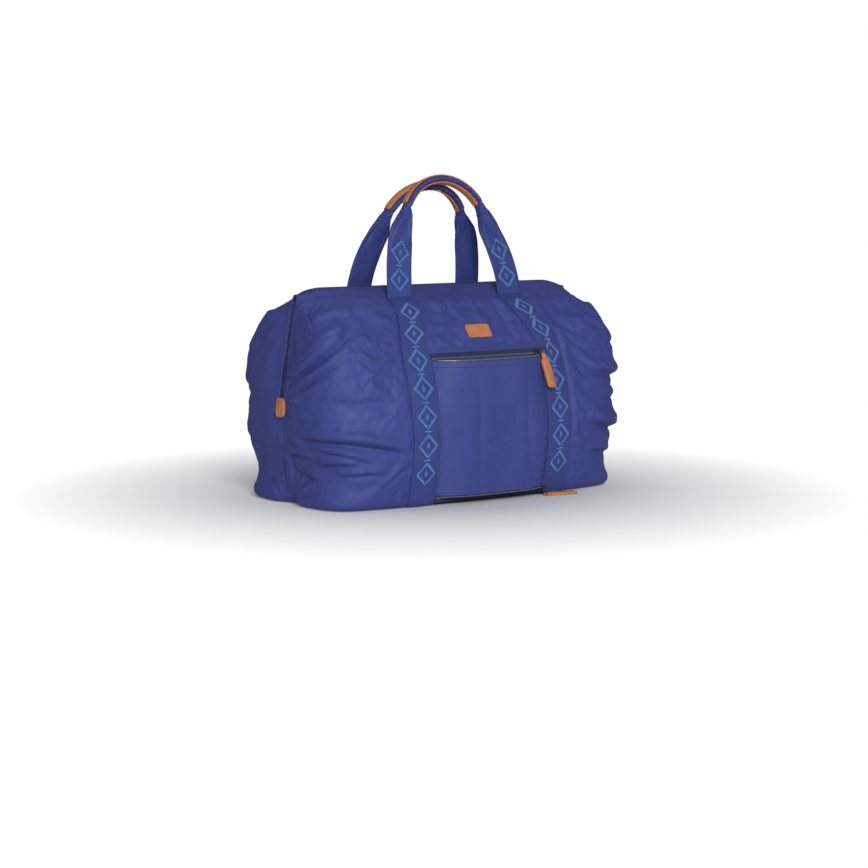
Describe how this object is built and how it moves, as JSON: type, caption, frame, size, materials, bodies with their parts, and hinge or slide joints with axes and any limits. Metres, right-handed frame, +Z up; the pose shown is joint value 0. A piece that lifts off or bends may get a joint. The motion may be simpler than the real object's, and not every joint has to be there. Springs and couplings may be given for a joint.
{
  "type": "foldable tote bag",
  "caption": "Soft navy travel tote with zip top, folded-band carry handles, leather trim and a rear sleeve that slips over a trolley handle.",
  "frame": {"origin": "centre of the base, on the surface the bag stands on", "axes": "+Z up, X along the bag's length, -Y the rear face that carries the trolley sleeve"},
  "size_m": [0.5551, 0.3105, 0.4651],
  "materials": {
    "nylon": "soft satin woven nylon",
    "webbing": "satin woven nylon, stitched",
    "lining": "matt woven lining",
    "zip_tape": "fine woven tape",
    "zip_teeth": "satin coil",
    "leather": "smooth cognac leather",
    "hardware": "polished gunmetal"
  },
  "bodies": {
    "shell": {"base_panel": "nylon", "base_lining": "lining", "rear_panel_lower": "nylon", "front_panel_lower": "nylon", "rear_lining_lower": "lining", "front_lining_lower": "lining", "sleeve_panel": "nylon", "sleeve_top_zip_inner": "zip_tape", "sleeve_top_zip_outer": "zip_teeth", "sleeve_bottom_zip_inner": "zip_tape", "sleeve_bottom_zip_outer": "zip_teeth", "rear_strap_left_lower": "webbing", "rear_strap_right_lower": "webbing", "front_strap_left_lower": "webbing", "front_strap_right_lower": "webbing", "left_zip_tab": "leather", "right_zip_tab": "leather", "left_zip_chain": "zip_tape", "right_zip_chain": "zip_tape", "sleeve_top_slider": "hardware", "sleeve_bottom_slider": "hardware", "sleeve_top_link": "hardware", "sleeve_bottom_link": "hardware"},
    "rear_mouth": {"rear_panel_upper": "nylon", "rear_lining_upper": "lining", "rear_zip_tape": "zip_tape", "rear_zip_teeth": "zip_teeth", "rear_strap_left_upper": "webbing", "rear_strap_right_upper": "webbing", "leather_patch": "leather"},
    "front_mouth": {"front_panel_upper": "nylon", "front_lining_upper": "lining", "front_zip_tape": "zip_tape", "front_zip_teeth": "zip_teeth", "front_strap_left_upper": "webbing", "front_strap_right_upper": "webbing"},
    "rear_handle": {"rear_handle_band": "webbing", "rear_grip_upper": "leather", "rear_grip_lower": "leather"},
    "front_handle": {"front_handle_band": "webbing", "front_grip_upper": "leather", "front_grip_lower": "leather"},
    "main_slider": {"main_slider": "hardware"},
    "main_link": {"main_link": "hardware"},
    "main_pull": {"main_pull": "leather"},
    "sleeve_top_pull": {"sleeve_top_pull": "leather"},
    "sleeve_bottom_pull": {"sleeve_bottom_pull": "leather"}
  },
  "joints": [
    {"name": "rear_mouth_open", "type": "hinge", "parent": "shell", "child": "rear_mouth", "pos_m": [0, -0.12234, 0.216], "axis": [1, 0, 0], "range_deg": [0, 20]},
    {"name": "front_mouth_open", "type": "hinge", "parent": "shell", "child": "front_mouth", "pos_m": [0, 0.12234, 0.216], "axis": [-1, 0, 0], "range_deg": [0, 20]},
    {"name": "rear_handle_fold", "type": "hinge", "parent": "rear_mouth", "child": "rear_handle", "pos_m": [0, -0.05229, 0.2918], "axis": [1, 0, 0], "range_deg": [0, 95]},
    {"name": "front_handle_fold", "type": "hinge", "parent": "front_mouth", "child": "front_handle", "pos_m": [0, 0.05229, 0.2918], "axis": [-1, 0, 0], "range_deg": [0, 95]},
    {"name": "main_zip_slide", "type": "slide", "parent": "shell", "child": "main_slider", "axis": [-0.158, 0, 0.9874], "range_m": [0, 0.11]},
    {"name": "main_link_swing", "type": "hinge", "parent": "main_slider", "child": "main_link", "pos_m": [0.26686, 0, 0.17077], "axis": [0, -1, 0], "range_deg": [0, 100]},
    {"name": "main_pull_swing", "type": "hinge", "parent": "main_link", "child": "main_pull", "pos_m": [0.26864, 0, 0.15961], "axis": [0, -1, 0], "range_deg": [0, 60]},
    {"name": "sleeve_top_pull_swing", "type": "hinge", "parent": "shell", "child": "sleeve_top_pull", "pos_m": [0.1015, -0.12965, 0.20395], "axis": [-1, 0, 0], "range_deg": [0, 80]},
    {"name": "sleeve_bottom_pull_lift", "type": "hinge", "parent": "shell", "child": "sleeve_bottom_pull", "pos_m": [0.09387, -0.14596, 0.00225], "axis": [-0.1736, -0.9848, 0], "range_deg": [0, 45]}
  ]
}
